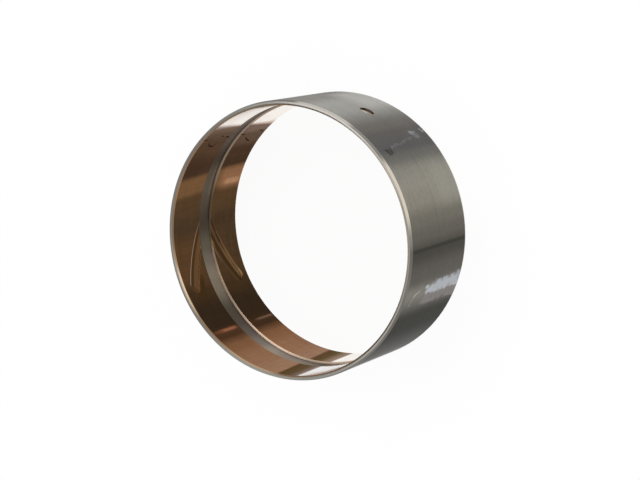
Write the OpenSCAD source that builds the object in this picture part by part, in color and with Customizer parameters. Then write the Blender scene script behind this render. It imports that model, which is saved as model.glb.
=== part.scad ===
// Wrapped two-metal plain bush: a steel back lined with bronze, rolled from flat
// strip and clinched at its joint. It stands on one end face, axis up.
// Millimetres and degrees. Angles run around the axis from +X towards +Y.

/* [Ring] */
// Diameter of the running bore, inside the bronze
bore_d = 135; // [100:1:180]
// Thickness of the bronze lining
bronze_t = 0.6; // [0.6:0.05:0.85]
// Thickness of the steel back
steel_t = 1.9; // [1.6:0.1:3]
// Width of the bush between its end faces
bush_w = 60; // [58:1:80]

/* [End chamfers] */
// Length of the outside chamfer along the axis, the lead-in for pressing
lead_in_w = 1.8; // [1:0.1:2.4]
// Angle of the outside chamfer to the axis
lead_in_angle = 20; // [12:1:25]
// Leg of the inside chamfer
bore_chamfer = 1; // [0.7:0.1:1.3]

/* [Oil groove] */
// Width of the groove around the middle of the bore
groove_w = 11; // [11:0.5:13]
// Depth of that groove below the running surface, into the steel
groove_depth = 1.1; // [0.9:0.05:1.6]
// Lean of each side wall of the groove, which opens towards the bore
groove_lean = 18; // [10:1:25]

/* [Branch grooves] */
// Width of a branch groove where it meets the running surface
branch_w = 7; // [6:0.2:8]
// Depth of a branch groove, less than the bronze is thick
branch_depth = 0.45; // [0.3:0.05:0.5]
// Length from the point where the two branches meet to the centre of a round end
branch_run = 40; // [30:1:42]
// Angle between a branch and the middle groove
branch_tilt = 30; // [24:1:32]
// Place around the bore where the two branches would meet
branch_angle = 172; // [160:1:200]

/* [Oil hole] */
// Diameter of the oil hole
hole_d = 7.4; // [4:0.2:7.6]
// Leg of the broken edge around the mouth of the hole
hole_break = 0.25; // [0.1:0.05:0.4]
// Place of the hole around the bush
hole_angle = 61; // [40:1:100]
// Distance of the hole from the middle of the width
hole_shift = -1; // [-1.2:0.1:1.2]

/* [Clinched joint] */
// Place of the joint line around the bush
joint_angle = 130.5; // [120:0.5:140]
// Width of the gap that is left along the joint
joint_gap = 0.1; // [0.05:0.01:0.2]
// Diameter of the round head of each tab
tab_head_d = 9; // [8:0.5:10]
// Reach of a tab past the joint line
tab_reach = 6.5; // [6:0.1:7]
// Radius of the fillets in the neck of a tab
tab_fillet = 0.8; // [0.5:0.1:1]
// Distance between the two tabs along the axis
tab_pitch = 35; // [30:0.5:38]

/* [Hidden] */
$fn = 180;
tab_fn = 48;
steel_colour = [0.60, 0.60, 0.58];
bronze_colour = [0.66, 0.45, 0.30];
// How far a cutter passes through the face that it opens
past = 1;

bore_r = bore_d / 2;
bond_r = bore_r + bronze_t;
outside_r = bond_r + steel_t;
groove_floor_r = bore_r + groove_depth;
mid_z = bush_w / 2;
lead_in_drop = lead_in_w * tan(lead_in_angle);

branch_half_run = branch_run / 2;
branch_mid_angle = branch_angle + branch_half_run * cos(branch_tilt) / bore_r * 180 / PI;
branch_mid_rise = branch_half_run * sin(branch_tilt);

tab_head_r = tab_head_d / 2;
tab_head_x = tab_reach - tab_head_r;
tab_fillet_y = sqrt(pow(tab_head_r + tab_fillet, 2) - pow(tab_head_x - tab_fillet, 2));
// Where a fillet runs into the head
tab_neck_x = tab_head_x + (tab_fillet - tab_head_x) * tab_head_r / (tab_head_r + tab_fillet);

// Half section of the whole wall: two end chamfers inside and out, and the oil groove
module wall_section() {
    floor_half = groove_w / 2 - groove_depth * tan(groove_lean);
    mouth_half = groove_w / 2 + past * tan(groove_lean);
    difference() {
        polygon([
            [bore_r, bore_chamfer], [bore_r + bore_chamfer, 0],
            [outside_r - lead_in_drop, 0], [outside_r, lead_in_w],
            [outside_r, bush_w - lead_in_w], [outside_r - lead_in_drop, bush_w],
            [bore_r + bore_chamfer, bush_w], [bore_r, bush_w - bore_chamfer]
        ]);
        polygon([
            [groove_floor_r, mid_z - floor_half], [groove_floor_r, mid_z + floor_half],
            [bore_r - past, mid_z + mouth_half], [bore_r - past, mid_z - mouth_half]
        ]);
    }
}

// The part of the wall outside the bond line, the steel of the strip
module steel_section() {
    intersection() {
        wall_section();
        translate([bond_r, 0]) square([steel_t + past, bush_w]);
    }
}

// The part of the wall inside the bond line on one side of the oil groove
module bronze_section() {
    intersection() {
        wall_section();
        translate([bore_r - past, mid_z]) square([past + bronze_t, mid_z]);
    }
}

// The space that a blunt tool presses into the bronze for one branch, to one depth
// all along: a slanting strip with a round end, seen from the middle of the branch
module branch_press() {
    intersection() {
        cylinder(r = bore_r + branch_depth, h = bush_w);
        rotate([0, 0, branch_mid_angle])
            translate([bore_r / 2, 0, mid_z + branch_mid_rise])
                rotate([90, 0, 90])
                    linear_extrude(bore_r)
                        rotate(branch_tilt) {
                            translate([-branch_half_run, -branch_w / 2]) square([branch_run, branch_w]);
                            translate([branch_half_run, 0]) circle(r = branch_w / 2);
                        }
    }
}

// Repeats a front feature on the rear side of the oil groove
module rear_twin() {
    translate([0, 0, bush_w]) mirror([0, 0, 1]) children();
}

// Outline of the tabbed end of the strip, seen flat. The whole outline, fillets
// and all, moves outwards by grow, so two of them leave an even gap.
module strip_end(grow) {
    strip_l = 3 * past;
    translate([-strip_l, -past]) square([strip_l + grow, bush_w + 2 * past]);
    for (side = [-1, 1])
        translate([0, mid_z + side * tab_pitch / 2]) {
            translate([tab_head_x, 0]) circle(r = tab_head_r + grow, $fn = tab_fn);
            difference() {
                translate([0, -tab_fillet_y]) square([tab_neck_x, 2 * tab_fillet_y]);
                for (end = [-1, 1])
                    translate([tab_fillet, end * tab_fillet_y])
                        circle(r = tab_fillet - grow, $fn = tab_fn);
            }
        }
}

// The gap between the two ends of the strip, right through the wall
module joint_cut() {
    rotate([0, 0, joint_angle])
        translate([bore_r - past, 0, 0])
            rotate([90, 0, 90])
                linear_extrude(bronze_t + steel_t + 2 * past)
                    difference() {
                        strip_end(joint_gap / 2);
                        strip_end(-joint_gap / 2);
                    }
}

// The oil hole, with its edge broken on the outside
module oil_hole() {
    rotate([0, 0, hole_angle])
        translate([0, 0, mid_z + hole_shift])
            rotate([0, 90, 0]) {
                cylinder(r = hole_d / 2, h = outside_r + past);
                translate([0, 0, outside_r - hole_break])
                    cylinder(r1 = hole_d / 2, r2 = hole_d / 2 + hole_break + past, h = hole_break + past);
            }
}

module steel_back() {
    color(steel_colour)
        difference() {
            rotate_extrude() steel_section();
            oil_hole();
            joint_cut();
        }
}

module front_lining() {
    color(bronze_colour)
        difference() {
            rotate_extrude() bronze_section();
            branch_press();
            joint_cut();
        }
}

module rear_lining() {
    color(bronze_colour)
        difference() {
            rear_twin()
                difference() {
                    rotate_extrude() bronze_section();
                    branch_press();
                }
            joint_cut();
        }
}

steel_back();
front_lining();
rear_lining();
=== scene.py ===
import math
import bpy
from mathutils import Matrix, Vector


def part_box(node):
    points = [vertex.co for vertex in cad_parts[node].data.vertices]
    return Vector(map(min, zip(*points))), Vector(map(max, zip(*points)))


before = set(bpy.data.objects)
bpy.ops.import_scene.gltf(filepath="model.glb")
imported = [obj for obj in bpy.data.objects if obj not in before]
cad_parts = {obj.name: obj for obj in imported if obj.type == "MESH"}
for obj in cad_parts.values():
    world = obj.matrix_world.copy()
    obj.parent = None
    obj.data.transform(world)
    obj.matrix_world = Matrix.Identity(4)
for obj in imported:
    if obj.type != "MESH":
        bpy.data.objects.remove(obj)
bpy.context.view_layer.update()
bpy.ops.object.select_all(action="DESELECT")

# Steel back
# The strip that carries the bush: steel, rolled into a ring and clinched at its joint, turned
# outside to its press fit and faced at both ends. The oil groove is milled through the bronze
# into it, and one oil hole is drilled through it.
MM = 0.001
steel_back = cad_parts["steel_back"]
bush_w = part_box("steel_back")[1].z / MM
mid_z = bush_w / 2
bore_r = 67.5
groove_w = 11
groove_depth = 1.1
hole_angle = 61


def linear(hex_colour):
    """An sRGB hex colour as linear red, green, blue and alpha."""
    parts = [int(hex_colour[i:i + 2], 16) / 255 for i in (1, 3, 5)]
    return [c / 12.92 if c <= 0.04045 else ((c + 0.055) / 1.055) ** 2.4 for c in parts] + [1]


def add(tree, kind, links=None, **settings):
    """A node with its settings, and its inputs as values or as links from other nodes."""
    made = tree.nodes.new(kind)
    for key, value in settings.items():
        setattr(made, key, value)
    for socket, value in (links or {}).items():
        target = made.inputs[socket]
        if isinstance(value, bpy.types.NodeSocket):
            tree.links.new(value, target)
        else:
            target.default_value = value
    return made


def metal(name, base, roughness, edge_tint):
    """A bare metal in its middle tone, which the tones and marks drawn on it replace."""
    material = bpy.data.materials.new(name)
    material.use_nodes = True
    tree = material.node_tree
    tree.nodes.clear()
    skin = add(tree, "ShaderNodeBsdfPrincipled", {
        "Metallic": 1.0,
        "Base Color": linear(base),
        "Roughness": roughness,
        "Specular Tint": linear(edge_tint),
    })
    add(tree, "ShaderNodeOutputMaterial", {"Surface": skin.outputs["BSDF"]})
    return material, tree, skin


def degrees_around(tree, start):
    """Degrees around the bush. The count runs through a whole turn from start, -180 or 0."""
    place = add(tree, "ShaderNodeTexCoord").outputs["Object"]
    axes = add(tree, "ShaderNodeSeparateXYZ", {"Vector": place})
    sign = 1 if start < 0 else -1
    x = add(tree, "ShaderNodeMath", {0: axes.outputs["X"], 1: sign}, operation="MULTIPLY")
    y = add(tree, "ShaderNodeMath", {0: axes.outputs["Y"], 1: sign}, operation="MULTIPLY")
    angle = add(tree, "ShaderNodeMath", {0: y.outputs[0], 1: x.outputs[0]}, operation="ARCTAN2")
    degrees = add(tree, "ShaderNodeMath", {
        0: angle.outputs[0], 1: 180 / math.pi, 2: start + 180}, operation="MULTIPLY_ADD")
    return degrees.outputs[0]


def height(tree):
    """Millimetres along the bush, from the end that it stands on."""
    place = add(tree, "ShaderNodeTexCoord").outputs["Object"]
    axes = add(tree, "ShaderNodeSeparateXYZ", {"Vector": place})
    return add(tree, "ShaderNodeMath", {0: axes.outputs["Z"], 1: 1 / MM}, operation="MULTIPLY").outputs[0]


def tones_around(tree, degrees, stops):
    """Tones around the bush, each set at its own place and eased into the next."""
    first, last = stops[0][0], stops[-1][0]
    share = add(tree, "ShaderNodeMapRange", {"Value": degrees, "From Min": first, "From Max": last})
    blend = add(tree, "ShaderNodeValToRGB", {"Fac": share.outputs[0]})
    blend.color_ramp.interpolation = "EASE"
    points = blend.color_ramp.elements
    points[0].color = linear(stops[0][1])
    points[1].color = linear(stops[-1][1])
    for turn, tone in stops[1:-1]:
        points.new((turn - first) / (last - first)).color = linear(tone)
    return blend.outputs["Color"]


def overlap(tree, *masks):
    """Where all the masks hold at once."""
    result = masks[0]
    for mask in masks[1:]:
        result = add(tree, "ShaderNodeMath", {0: result, 1: mask}, operation="MULTIPLY").outputs[0]
    return result


def window(tree, value, start, end, soft):
    """1 from start to end and 0 elsewhere, eased over soft on both sides of each limit."""
    rise = add(tree, "ShaderNodeMapRange", {
        "Value": value, "From Min": start - soft, "From Max": start + soft,
    }, interpolation_type="SMOOTHSTEP")
    fall = add(tree, "ShaderNodeMapRange", {
        "Value": value, "From Min": end - soft, "From Max": end + soft, "To Min": 1.0, "To Max": 0.0,
    }, interpolation_type="SMOOTHSTEP")
    return overlap(tree, rise.outputs[0], fall.outputs[0])


def patch(tree, degrees, along, sides, ends, lean=0):
    """A place on the bush: its sides in degrees and its ends in mm, both with their softness. It
    leans by lean degrees for each mm along the bush, about the middle of the width."""
    off_mid = add(tree, "ShaderNodeMath", {0: along, 1: mid_z}, operation="SUBTRACT")
    leant = add(tree, "ShaderNodeMath", {
        0: off_mid.outputs[0], 1: -lean, 2: degrees}, operation="MULTIPLY_ADD")
    return overlap(tree, window(tree, leant.outputs[0], *sides), window(tree, along, *ends))


def stroke(tree, degrees, along, start, end, width, soft):
    """A straight mark between two places given in degrees and mm, from the higher one down."""
    lean = (start[0] - end[0]) / (start[1] - end[1])
    centre = start[0] - lean * (start[1] - mid_z)
    end_soft = 0.5
    sides = (centre - width / 2, centre + width / 2, soft)
    ends = (end[1], start[1], end_soft)
    return patch(tree, degrees, along, sides, ends, lean)


def paint(tree, colour, layers):
    """The colour with tones laid over it, each a mask and a tone, the last one on top."""
    for mask, tone in layers:
        mixed = add(tree, "ShaderNodeMix", {"Factor": mask, 6: colour, 7: linear(tone)}, data_type="RGBA")
        colour = mixed.outputs[2]
    return colour


def shade(tree, colour, *factors):
    """The colour made lighter or darker by each of the factors."""
    for factor in factors:
        scaled = add(tree, "ShaderNodeVectorMath", {0: colour, "Scale": factor}, operation="SCALE")
        colour = scaled.outputs[0]
    return colour


def brighten(tree, colour, mask, share):
    """The colour made lighter by share where the mask holds."""
    factor = add(tree, "ShaderNodeMath", {0: mask, 1: share, 2: 1.0}, operation="MULTIPLY_ADD")
    return shade(tree, colour, factor.outputs[0])


def streaks(tree, around, along, detail, low, high):
    """Marks about as long around the bush and along it as the two sizes in mm, from low to high."""
    place = add(tree, "ShaderNodeTexCoord").outputs["Object"]
    per_metre = (1 / (around * MM), 1 / (around * MM), 1 / (along * MM))
    drawn = add(tree, "ShaderNodeMapping", {"Vector": place, "Scale": per_metre})
    noise = add(tree, "ShaderNodeTexNoise", {"Vector": drawn.outputs[0], "Scale": 1.0, "Detail": detail})
    # nearly all of the noise lies between these two
    faint, strong = 0.3, 0.7
    spread = add(tree, "ShaderNodeMapRange", {
        "Value": noise.outputs["Fac"], "From Min": faint, "From Max": strong,
        "To Min": low, "To Max": high,
    })
    return spread.outputs[0]


# Turned steel outside: satin grey with the long dark and light bands that a turned cylinder
# shows, painted in as reflections, a painted dark reflection line, fine lines running around it,
# and a dried pale run, scuffs and scratches.
turned, tree, skin = metal("turned steel outside", base="#6b6963", roughness=0.34, edge_tint="#c4c4c4")
degrees = degrees_around(tree, -180)
along = height(tree)
# the long light and dark bands around the ring are painted reflections
colour = tones_around(tree, degrees, [
    (-180, "#7d7b76"), (-100, "#96938e"), (-69, "#b3aaa1"), (-59, "#332f28"), (-50, "#312f27"),
    (-42, "#26251d"), (-35, "#383830"), (-22.5, "#8e8b82"), (-17, "#68655e"), (-14, "#65615b"),
    (-6, "#4e4b44"), (1, "#6a665f"), (7, "#77746a"), (15, "#938e83"), (22, "#98948a"),
    (27, "#939086"), (34, "#72706a"), (38, "#636160"), (46, "#686562"), (50, "#76726c"),
    (66, "#b8b6af"), (71, "#c0beb6"), (82, "#9c968b"), (89, "#84807a"), (125, "#88857f"),
    (180, "#7d7b76"),
])
# painted light: the part near the floor is a little lighter, above all in two bands
lower = window(tree, along, -20, 24, 8)
colour = paint(tree, colour, [
    (overlap(tree, lower, window(tree, degrees, 64, 82.5, 5)), "#cecbc4"),
    (overlap(tree, lower, window(tree, degrees, 13, 27, 5)), "#9c998e"),
])
colour = brighten(tree, colour, lower, 0.04)
# the turned lines are finer than the render shows, so they are drawn as coarse as they need
turned_lines = streaks(tree, around=40, along=0.45, detail=3, low=0.9, high=1.1)
grain = streaks(tree, around=1.6, along=1.6, detail=4, low=0.94, high=1.06)
colour = shade(tree, colour, turned_lines, grain)
# marks: two covers, one more broken up than the other, and edges that wander
ragged = streaks(tree, around=2.5, along=2.5, detail=5, low=0.0, high=1.4)
solid = add(tree, "ShaderNodeMath", {0: ragged, 1: 0.3}, operation="ADD").outputs[0]
wander = streaks(tree, around=3, along=4, detail=4, low=-0.9, high=0.9)
loose = add(tree, "ShaderNodeMath", {0: degrees, 1: wander}, operation="ADD").outputs[0]
drift = add(tree, "ShaderNodeMath", {0: wander, 1: 2.0, 2: along}, operation="MULTIPLY_ADD").outputs[0]
marks = [
    (solid, (-29.2, -25, 0.9), (-2, 38.5, 3), "#938d8b"),
    (solid, (-24.7, -21, 0.7), (1, 37, 1.2), "#c6cad0"),
    (solid, (-23.6, -19.8, 1.1), (-4, 31, 6), "#c2c6cc"),
    (solid, (-21.5, -18.5, 0.7), (-2, 6.5, 2), "#c2c6cc"),
    (ragged, (35.8, 38.6, 0.8), (46, 51.5, 1.5), "#43413c"),
    (ragged, (40.9, 42.8, 0.5), (9.5, 15, 1.2), "#8b8d91"),
    (ragged, (42.8, 44.6, 0.5), (12, 17, 1.2), "#a3a5a9"),
    (ragged, (42.9, 44.9, 0.5), (2.5, 5.5, 0.8), "#b4b6ba"),
    (solid, (86.5, 99, 3), (2, 25, 8), "#76726b"),
]
colour = paint(tree, colour, [
    (overlap(tree, patch(tree, loose, drift, sides, ends), cover), tone)
    for cover, sides, ends, tone in marks
])
scratches = [
    (solid, (-28, 52), (-24, 49.5), 0.8, "#c3c1bb"),
    (solid, (-24, 49.5), (-21.5, 45), 0.8, "#c3c1bb"),
    (ragged, (38.8, 45), (40.2, 31), 0.7, "#7a7c7f"),
    (ragged, (40.2, 31), (41.8, 18), 0.7, "#7a7c7f"),
]
colour = paint(tree, colour, [
    (overlap(tree, stroke(tree, loose, along, start, end, width, soft=0.45), cover), tone)
    for cover, start, end, width, tone in scratches
])
# a painted dark reflection: a thin dark line along the whole length of the outside
dark_reflection_line = window(tree, degrees, -5.4, -3.9, 0.5)
colour = paint(tree, colour, [(dark_reflection_line, "#42413b")])
tree.links.new(colour, skin.inputs["Base Color"])

# Faced steel ends: cut smoother than the outside, so they show brighter. Their tone is painted
# reflection, with broad light and dark parts around the ring.
faced, tree, skin = metal("faced steel end", base="#a39f98", roughness=0.3, edge_tint="#d8d8d8")
tree.links.new(tones_around(tree, degrees_around(tree, -180), [
    (-180, "#9f9b94"), (-150, "#948f89"), (-114, "#bcb8b0"), (-84, "#b6b2aa"), (-48, "#cbc6bd"),
    (-10, "#aeaaa2"), (12, "#b6b2aa"), (26, "#d6d1c8"), (36, "#d9d4cb"), (50, "#f9f3e9"),
    (72, "#f9f3e9"), (98, "#bab6ae"), (112, "#a29e97"), (132, "#948f89"), (180, "#9f9b94"),
]), skin.inputs["Base Color"])

# Turned steel lead-in: the same smooth steel on a slant, painted mostly darker than the end beside
# it, with painted bright stretches where it leans to the light.
lead_in, tree, skin = metal("turned lead-in", base="#8b8781", roughness=0.3, edge_tint="#d8d8d8")
tree.links.new(tones_around(tree, degrees_around(tree, -180), [
    (-180, "#b4b0a8"), (-165, "#adaaa2"), (-150, "#7e7a76"), (-128, "#848079"), (-108, "#625f5b"),
    (-94, "#5d5a56"), (-72, "#716e69"), (-48, "#7e7a75"), (-36, "#6e6b66"), (-20, "#7a7671"),
    (-5, "#6c6964"), (0, "#8a857d"), (12, "#dad0c0"), (30, "#dad0c0"), (37, "#86827d"),
    (52, "#908c86"), (56, "#c6c2ba"), (78, "#c6c2ba"), (82, "#7a7671"), (104, "#706d68"),
    (120, "#64615d"), (132, "#67645f"), (145, "#a6a29b"), (157, "#c0bcb3"), (180, "#b4b0a8"),
]), skin.inputs["Base Color"])

# Milled steel floor of the oil groove: dull grey, and painted warm where the bronze beside it
# shines on it.
groove_floor, tree, skin = metal("milled groove floor", base="#665e54", roughness=0.42, edge_tint="#bcbcbc")
degrees = degrees_around(tree, 0)
along = height(tree)
colour = tones_around(tree, degrees, [
    (0, "#8a7563"), (90, "#a2948d"), (118, "#968a83"), (122, "#8b7f77"), (128, "#74675c"),
    (132, "#6d6156"), (145, "#50453a"), (153, "#64584b"), (159, "#665d51"), (165, "#5b5246"),
    (175, "#4d4339"), (186, "#665f52"), (191, "#766d61"), (198, "#887d6e"), (204, "#827869"),
    (216, "#574f44"), (223, "#5a5149"), (229, "#6a6059"), (236, "#897f75"), (243, "#aca093"),
    (249, "#a5988d"), (256, "#a99b8d"), (263, "#9a8d7f"), (268, "#8c7c6f"), (272, "#b59e88"),
    (277, "#d4b595"), (281, "#b69b80"), (286, "#b2977c"), (360, "#8a7563"),
])
# darker where the front branch opens into it, and painted light along the foot of its rear side
branch_mouth = patch(tree, degrees, along, (173.5, 187, 0.6), (33.6, 37, 0.4))
colour = paint(tree, colour, [(branch_mouth, "#5a4838")])
rear_foot_light = patch(tree, degrees, along, (163, 330, 4), (20, 26, 0.6))
left_part_light = patch(tree, degrees, along, (147, 165, 4), (20, 28.3, 0.8))
colour = brighten(tree, colour, rear_foot_light, 0.35)
colour = brighten(tree, colour, left_part_light, 0.35)
tree.links.new(colour, skin.inputs["Base Color"])

# Milled steel sides of the oil groove: cleanly cut, so they catch the light as thin pale lines,
# painted lighter and darker around the ring as that light falls.
groove_side, tree, skin = metal("milled groove side", base="#a89c90", roughness=0.35, edge_tint="#ffffff")
tree.links.new(tones_around(tree, degrees_around(tree, 0), [
    (0, "#a89c90"), (128, "#a89c90"), (140, "#9c9186"), (150, "#a79a8c"), (165, "#857562"),
    (181, "#857562"), (190, "#c1b3a5"), (200, "#d0c1b2"), (220, "#b3a69a"), (235, "#c4b6a8"),
    (246, "#c0b2a4"), (260, "#9c9186"), (268, "#93897e"), (280, "#a89c90"), (360, "#a89c90"),
]), skin.inputs["Base Color"])

# Drilled steel wall of the oil hole: dull and brownish, so the hole shows dark and warm.
drilled = metal("drilled hole wall", base="#6b5b4d", roughness=0.45, edge_tint="#bcbcbc")[0]


def dress(node, default, zones):
    """Gives each face the material of the first zone that it belongs to, else the default one. A
    zone looks at the face's distance from the axis, its height, its degrees around, and how far
    it points out from the axis and up."""
    mesh = node.data
    mesh.materials.clear()
    for material in [default] + [zone[0] for zone in zones]:
        mesh.materials.append(material)
    for face in mesh.polygons:
        x, y, z = (c / MM for c in face.center)
        r = math.hypot(x, y)
        turn = math.degrees(math.atan2(y, x))
        out = (face.normal.x * x + face.normal.y * y) / r
        for k, (material, belongs) in enumerate(zones):
            if belongs(r, z, turn, out, face.normal.z):
                face.material_index = k + 1
                break


slack = 0.1
groove_half = groove_w / 2 + slack
groove_floor_r = bore_r + groove_depth
# farther than this from the middle of the width, a face that points along the bush is at an end
end_start = 25
# half of the turn that the oil hole takes up, with room to spare
hole_reach = 5
# an end face points straight up or down, the side of the groove nearly so, the lead-in a little
end_up = 0.7
groove_side_up = 0.8
lead_in_up = 0.2
# the floor of the groove points in to the axis, and the walls of the hole and joint sideways
floor_out = -0.9
wall_out = 0.5
dress(steel_back, turned, [
    (faced, lambda r, z, turn, out, up: abs(z - mid_z) > end_start and abs(up) > end_up),
    (lead_in, lambda r, z, turn, out, up: abs(z - mid_z) > end_start and abs(up) > lead_in_up),
    (groove_floor, lambda r, z, turn, out, up: abs(z - mid_z) < groove_half and out < floor_out),
    (groove_side, lambda r, z, turn, out, up:
        abs(z - mid_z) < groove_half and r < groove_floor_r + slack and abs(up) > groove_side_up),
    (drilled, lambda r, z, turn, out, up: abs(turn - hole_angle) < hole_reach and out < wall_out),
    (groove_floor, lambda r, z, turn, out, up: out < wall_out),
])

# Bronze linings
# Two skins of rolled bronze, bonded to the flat strip before it is rolled up, one on each side of
# the oil groove. A branch groove with a round end is pressed into each.
front_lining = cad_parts["front_lining"]
rear_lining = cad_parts["rear_lining"]
branch_angle = 172
branch_tilt = math.radians(30)
branch_depth = 0.45
bronze_edge_tint = "#cfc3ba"

# Rolled bronze running surface: warm brown and smooth, with painted light and shade in long bands,
# a painted white glare at both sides of the view, a painted glint, and faint rolling marks.
lining, tree, skin = metal(
    "rolled bronze lining", base="#543e29", roughness=0.26, edge_tint=bronze_edge_tint)
degrees = degrees_around(tree, 0)
along = height(tree)
colour = tones_around(tree, degrees, [
    (0, "#8a6a4e"), (118, "#8d7a6d"), (124.5, "#6a554a"), (128.5, "#53433a"), (132.5, "#49392e"),
    (137, "#4d3a2f"), (147, "#3e2f27"), (153, "#46342a"), (163, "#55402c"), (176, "#493828"),
    (196, "#4b3826"), (205, "#402f1f"), (213, "#31261d"), (222, "#30251c"), (229, "#563c2c"),
    (234, "#835d43"), (243, "#956f56"), (258, "#a57f67"), (290, "#a57f67"), (305, "#8a6a4e"),
    (360, "#8a6a4e"),
])
full_width = (-9, bush_w + 9, 1)
rear_half = (-9, 24, 6)
# painted light and shade in patches, with the painted glint and the painted white glare
lining_painted_light = [
    ((122, 130.5, 2.5), rear_half, 0, "#75635a"),
    ((130.5, 137.5, 2.5), rear_half, 0, "#57473d"),
    ((138.5, 143, 1.5), rear_half, 0, "#3d2e26"),
    ((171.5, 177, 2.5), (-9, 21, 4), 0, "#453426"),
    ((104, 123.3, 0.7), full_width, -0.08, "#dfcabf"),
    ((104, 122, 0.8), full_width, -0.08, "#fff5ec"),
    ((151.1, 159.8, 1.6), full_width, 0.06, "#76573c"),
    ((150.7, 160, 2.4), (-9, 20, 5), 0, "#92694d"),
    ((156, 158.6, 0.8), (2.5, 16, 2), 0, "#ad8464"),
    ((180, 200.5, 4), (37, 69, 4), 0, "#573f29"),
    ((224.2, 225.6, 0.7), (38, 53, 3), 0, "#9c6448"),
    ((224.3, 225.6, 0.7), (50, 58, 2), 0, "#6c4631"),
    ((224.2, 225.2, 0.5), (2, 17, 3), 0, "#705848"),
    ((225.8, 228.7, 0.7), (-9, 24, 1), 0, "#3f2d22"),
    ((227, 228.9, 0.7), (30, 69, 1), 0, "#4a3323"),
    ((259.4, 272, 0.8), full_width, 0.045, "#452d10"),
    ((267.6, 276, 2.4), (30, 69, 1), 0, "#7d6656"),
    ((265.6, 276, 2.6), (-9, 30, 1), 0, "#977f6a"),
    ((269.9, 286.5, 0.6), (-9, 24, 1), 0, "#fff7f0"),
    ((270.7, 288, 0.9), (35.6, 69, 1), 0, "#ffffff"),
    ((299.6, 330, 2.5), (36, 69, 5), -0.93, "#bb9d88"),
]
colour = paint(tree, colour, [
    (patch(tree, degrees, along, sides, ends, lean), tone)
    for sides, ends, lean, tone in lining_painted_light
])
# the rolling marks are finer than the render shows too, so they are drawn as coarse as they need
blurs = streaks(tree, around=16, along=3.3, detail=4, low=0.92, high=1.08)
rolled_lines = streaks(tree, around=1.5, along=14, detail=4, low=0.93, high=1.07)
colour = shade(tree, colour, blurs, rolled_lines)
# the edge tint is painted too: at a glancing angle the painted glare turns white, and the painted
# dark reflection stripe beside it stays dark
left_glare = window(tree, degrees, 100, 123, 1)
right_glare = window(tree, degrees, 269.8, 300, 1)
dark_reflection_stripe = window(tree, degrees, 259.8, 266.5, 1)
glancing = paint(tree, linear(bronze_edge_tint), [
    (left_glare, "#ffffff"), (right_glare, "#ffffff"), (dark_reflection_stripe, "#cdc0b1"),
])


def branch_places(tree):
    """Millimetres along a branch and across it, and a mask for the front and for the rear one."""
    around = add(tree, "ShaderNodeMath", {
        0: degrees_around(tree, 0), 1: branch_angle}, operation="SUBTRACT").outputs[0]
    off_mid = add(tree, "ShaderNodeMath", {0: height(tree), 1: mid_z}, operation="SUBTRACT").outputs[0]
    rise = add(tree, "ShaderNodeMath", {0: off_mid}, operation="ABSOLUTE").outputs[0]
    level_run = math.radians(bore_r) * math.cos(branch_tilt)
    level_across = -math.radians(bore_r) * math.sin(branch_tilt)
    run = add(tree, "ShaderNodeMath", {0: rise, 1: math.sin(branch_tilt)}, operation="MULTIPLY")
    run = add(tree, "ShaderNodeMath", {
        0: around, 1: level_run, 2: run.outputs[0]}, operation="MULTIPLY_ADD")
    across = add(tree, "ShaderNodeMath", {0: rise, 1: math.cos(branch_tilt)}, operation="MULTIPLY")
    across = add(tree, "ShaderNodeMath", {
        0: around, 1: level_across, 2: across.outputs[0]}, operation="MULTIPLY_ADD")
    front = add(tree, "ShaderNodeMath", {0: off_mid, 1: 0.0}, operation="GREATER_THAN")
    rear = add(tree, "ShaderNodeMath", {0: off_mid, 1: 0.0}, operation="LESS_THAN")
    return run.outputs[0], across.outputs[0], {"front": front.outputs[0], "rear": rear.outputs[0]}


def paint_strips(tree, colour, strips):
    """Tones in strips that follow a branch. Each has its lining, its place across the branch and
    the stretches along it that it keeps to, in mm with their softness, and its tone."""
    run, across, linings = branch_places(tree)
    layers = []
    for side, place, stretches, tone in strips:
        lengths = [window(tree, run, *stretch) for stretch in stretches]
        layers.append((overlap(tree, linings[side], window(tree, across, *place), *lengths), tone))
    return paint(tree, colour, layers)


# beside the branches, painted light and shade: painted shade and a painted highlight on the raised
# rim at the front one, painted highlights along the edges and at the end of the rear one
branch_edge_painted_light = [
    ("front", (-7.5, -3.6, 0.7), [(32, 43.5, 5)], "#402c18"),
    ("front", (2.95, 3.85, 0.2), [(2, 40.8, 0.8), (8, 90, 8)], "#a28a77"),
    ("rear", (-4.3, -3.5, 0.3), [(2, 26, 5)], "#6e5642"),
    ("rear", (1.7, 4.4, 0.7), [(12, 42.6, 1.5), (16, 90, 12)], "#745b3f"),
    ("rear", (2.4, 4.3, 0.6), [(38.6, 42.4, 1.4)], "#8f7353"),
]
colour = paint_strips(tree, colour, branch_edge_painted_light)
# the joint shows in the bronze as short dark marks where the outline of the tabs is pressed shut
joint_marks = [
    ((130.6, 60), (130.6, 56)), ((133.3, 51.5), (135, 49.5)), ((135, 49.5), (135.7, 45.5)),
    ((135.7, 45.5), (134.5, 44)), ((129.5, 44.4), (129.6, 42.6)), ((130.2, 39.2), (131.2, 35.3)),
    ((131, 25.5), (130.9, 20.5)), ((133.5, 17), (135.6, 12.5)), ((135.6, 12.5), (136, 10.5)),
    ((129.5, 8), (130.5, 3.5)),
]
for start, end in joint_marks:
    mark = stroke(tree, degrees, along, start, end, width=0.42, soft=0.2)
    colour = paint(tree, colour, [(mark, "#0f0b08")])
    glancing = paint(tree, glancing, [(mark, "#584b42")])
tree.links.new(glancing, skin.inputs["Specular Tint"])
tree.links.new(colour, skin.inputs["Base Color"])
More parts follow.
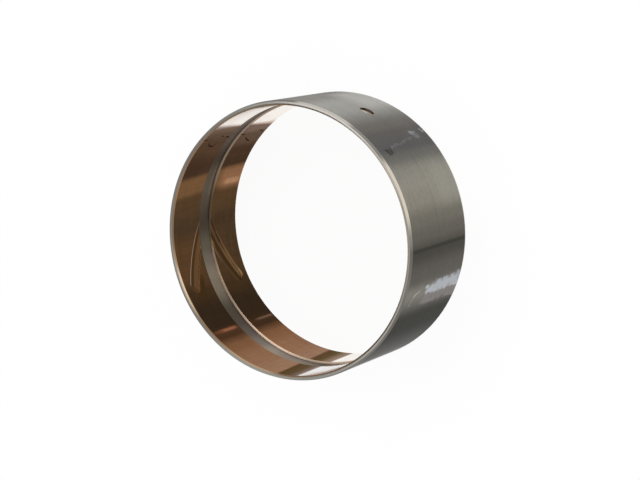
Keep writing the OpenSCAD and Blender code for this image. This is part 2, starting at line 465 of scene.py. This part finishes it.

# Turned bronze chamfer: a clean cut, so it shows as a bright copper line, with painted highlights
# that are brightest far away.
chamfered, tree, skin = metal("turned bronze chamfer", base="#d2ab86", roughness=0.3, edge_tint="#ffffff")
tree.links.new(tones_around(tree, degrees_around(tree, 0), [
    (0, "#e6c19b"), (30, "#ecc8a2"), (46, "#fbe0c4"), (56, "#fff6ec"), (76, "#fff6ec"),
    (86, "#dcb791"), (100, "#aa8a6b"), (140, "#aa8a6b"), (156, "#bb9876"), (170, "#a38466"),
    (180, "#967a5e"), (188, "#a08467"), (197, "#d3b899"), (209, "#cfb494"), (217, "#aa8a6b"),
    (228, "#b4926f"), (239, "#dcbd9a"), (255, "#dcbd9a"), (264, "#9c7f62"), (278, "#9c7f62"),
    (300, "#bf9b79"), (315, "#d6af8a"), (340, "#d6b08b"), (360, "#e6c19b"),
]), skin.inputs["Base Color"])

# Milled bronze side of the oil groove: a clean cut too, which shows as a thin cream line, painted
# lighter and darker around the ring as the light falls on it.
milled_bronze, tree, skin = metal("milled bronze side", base="#d2b69b", roughness=0.3, edge_tint="#ffffff")
tree.links.new(tones_around(tree, degrees_around(tree, 0), [
    (0, "#d2b69b"), (120, "#d2b69b"), (128, "#b8a088"), (153, "#b8a088"), (165, "#88714f"),
    (181, "#88714f"), (188, "#c3a990"), (200, "#dbbea2"), (210, "#bba28a"), (232, "#d8bca0"),
    (243, "#cfb398"), (260, "#a9927d"), (272, "#d2b69b"), (360, "#d2b69b"),
]), skin.inputs["Base Color"])

# Pressed bronze floor of a branch: plain and a little lighter than the lining, with painted shade
# along its upper edge and painted light at the foot of its lower wall.
pressed_tone = "#644930"
pressed, tree, skin = metal(
    "pressed branch groove", pressed_tone, roughness=0.3, edge_tint=bronze_edge_tint)
# painted light and shade on the floor of each branch
branch_floor_painted_light = [
    ("front", (0.6, 2.6, 0.5), [(-5, 60, 1)], "#46321f"),
    ("front", (-3.6, -2.6, 0.3), [(14, 37, 2)], "#775a3b"),
    ("front", (-4, 4, 0.1), [(40.6, 60, 1.2)], "#523a26"),
    ("rear", (-4, 1.1, 0.4), [(-5, 60, 1)], "#3f2d1d"),
    ("rear", (-4, -1.7, 0.4), [(-5, 60, 1)], "#523e29"),
    ("rear", (-3.6, -1.5, 0.5), [(5, 17.5, 2)], "#7d6143"),
    ("rear", (1.4, 2.4, 0.4), [(26, 46, 4)], "#5b442e"),
]
# painted light and shade at the foot of the branch walls
branch_foot_painted_light = [
    ("rear", (1, 4, 0.5), [(-12, 23, 6)], "#5b442e"),
    ("front", (-4, -2.9, 0.1), [(9, 45, 3)], "#93694a"),
    ("rear", (2.9, 4, 0.1), [(25, 50, 8)], "#9a7650"),
]
colour = paint_strips(tree, linear(pressed_tone), branch_floor_painted_light + branch_edge_painted_light + branch_foot_painted_light)
tree.links.new(colour, skin.inputs["Base Color"])

# Pressed bronze wall of a branch: the tool leaves it dull, so it takes the light from above
# evenly, and painted light along it makes it show as a pale edge.
wall_tone = "#7d5e42"
pressed_wall, tree, skin = metal("pressed branch wall", wall_tone, roughness=0.7, edge_tint="#ffffff")
skin.inputs["Metallic"].default_value = 0.0
# painted light: the walls are drawn lighter along each branch
colour = paint_strips(tree, linear(wall_tone), [
    ("front", (-5, -2, 0.6), [(8, 60, 6)], "#a07a50"),
    ("rear", (1.4, 5, 0.8), [(25, 65, 8)], "#d9b27e"),
])
tree.links.new(colour, skin.inputs["Base Color"])

# farther than this from the middle of the width, a slanting face is an end chamfer
chamfer_start = 28.8
chamfer_up = 0.3
milled_up = 0.9
# a branch lies deeper than the running surface, and its walls point in less than its floor
branch_wall_r = bore_r + 0.02
branch_floor_r = bore_r + 0.05
branch_limit_r = bore_r + branch_depth + 0.05
branch_wall_out = 0.9
for node in (front_lining, rear_lining):
    dress(node, lining, [
        (chamfered, lambda r, z, turn, out, up: abs(z - mid_z) > chamfer_start and abs(up) > chamfer_up),
        (milled_bronze, lambda r, z, turn, out, up: abs(z - mid_z) < groove_half and abs(up) > milled_up),
        (pressed_wall, lambda r, z, turn, out, up: r > branch_wall_r and abs(out) < branch_wall_out),
        (pressed, lambda r, z, turn, out, up: branch_floor_r < r < branch_limit_r),
    ])

# Floor
# A wide sheet of white paper that the bush stands on. It shows white to the camera and in the
# metal, and keeps a faint shadow.
floor_size = 8
floor_glow = 0.93
floor_grey = 0.1
bpy.ops.mesh.primitive_plane_add(size=floor_size)
floor = bpy.context.object
floor.name = "floor"
paper = bpy.data.materials.new("white paper floor")
paper.use_nodes = True
tree = paper.node_tree
tree.nodes.clear()
path = add(tree, "ShaderNodeLightPath").outputs
seen = add(tree, "ShaderNodeMath", {0: path["Is Camera Ray"], 1: path["Is Glossy Ray"]}, operation="MAXIMUM")
seen = add(tree, "ShaderNodeMath", {0: seen.outputs[0], 1: path["Is Transmission Ray"]}, operation="MAXIMUM")
glow = add(tree, "ShaderNodeMath", {0: seen.outputs[0], 1: floor_glow}, operation="MULTIPLY")
white = add(tree, "ShaderNodeEmission", {"Color": (1, 1, 1, 1), "Strength": glow.outputs[0]})
matt = add(tree, "ShaderNodeBsdfDiffuse", {"Color": (floor_grey, floor_grey, floor_grey, 1)})
both = add(tree, "ShaderNodeAddShader", {0: white.outputs[0], 1: matt.outputs[0]})
add(tree, "ShaderNodeOutputMaterial", {"Surface": both.outputs[0]})
floor.data.materials.append(paper)

# Light
# A plain studio: even pale grey surroundings and two softboxes, one behind and above the bush and
# one low on the right, which draw the long highlights on the turned steel.
surround_grey = 0.8
surround_strength = 0.75
world = bpy.data.worlds.new("studio")
world.use_nodes = True
bpy.context.scene.world = world
surround = world.node_tree.nodes["Background"].inputs
surround["Color"].default_value = (surround_grey, surround_grey, surround_grey, 1)
surround["Strength"].default_value = surround_strength


def softbox(name, direction, distance, size, strength):
    """An area lamp that looks at the bush and is as bright as a surface of the given strength."""
    lamp = bpy.data.lights.new(name, "AREA")
    lamp.shape = "RECTANGLE"
    lamp.size, lamp.size_y = size
    lamp.energy = strength * size[0] * size[1] * math.pi
    box = bpy.data.objects.new(name, lamp)
    bpy.context.collection.objects.link(box)
    toward = Vector(direction).normalized()
    box.location = toward * distance
    box.rotation_mode = "QUATERNION"
    box.rotation_quaternion = (-toward).to_track_quat("-Z", "Y")


softbox("overhead softbox", direction=(-0.2, 0.42, 0.88), distance=1.6, size=(0.9, 0.9), strength=1.2)
softbox("right softbox", direction=(0.8, 0.3, 0.5), distance=1.6, size=(0.9, 0.7), strength=1.2)

# Camera
# The photograph's viewpoint: a long lens 0.94 m away, 58 degrees above the face that the bush
# stands on, turned about its line of sight so that the X axis points right in the picture.
camera_elevation = math.radians(58.398)
camera_azimuth = math.radians(13.439)
camera_distance = 936.75 * MM
camera_target = Vector((2.05, -3.31, 30.0)) * MM
back = Vector((
    math.cos(camera_elevation) * math.cos(camera_azimuth),
    math.cos(camera_elevation) * math.sin(camera_azimuth),
    math.sin(camera_elevation),
))
up = back.cross(Vector((1, 0, 0))).normalized()
right = up.cross(back)
camera_data = bpy.data.cameras.new("camera")
camera_data.lens = 103.952
camera_data.sensor_width = 36
camera_data.clip_start = 0.05
camera = bpy.data.objects.new("camera", camera_data)
bpy.context.collection.objects.link(camera)
camera.location = camera_target + back * camera_distance
camera.rotation_mode = "QUATERNION"
camera.rotation_quaternion = Matrix((right, up, back)).transposed().to_quaternion()
bpy.context.scene.camera = camera
bpy.context.scene.view_settings.view_transform = "Standard"
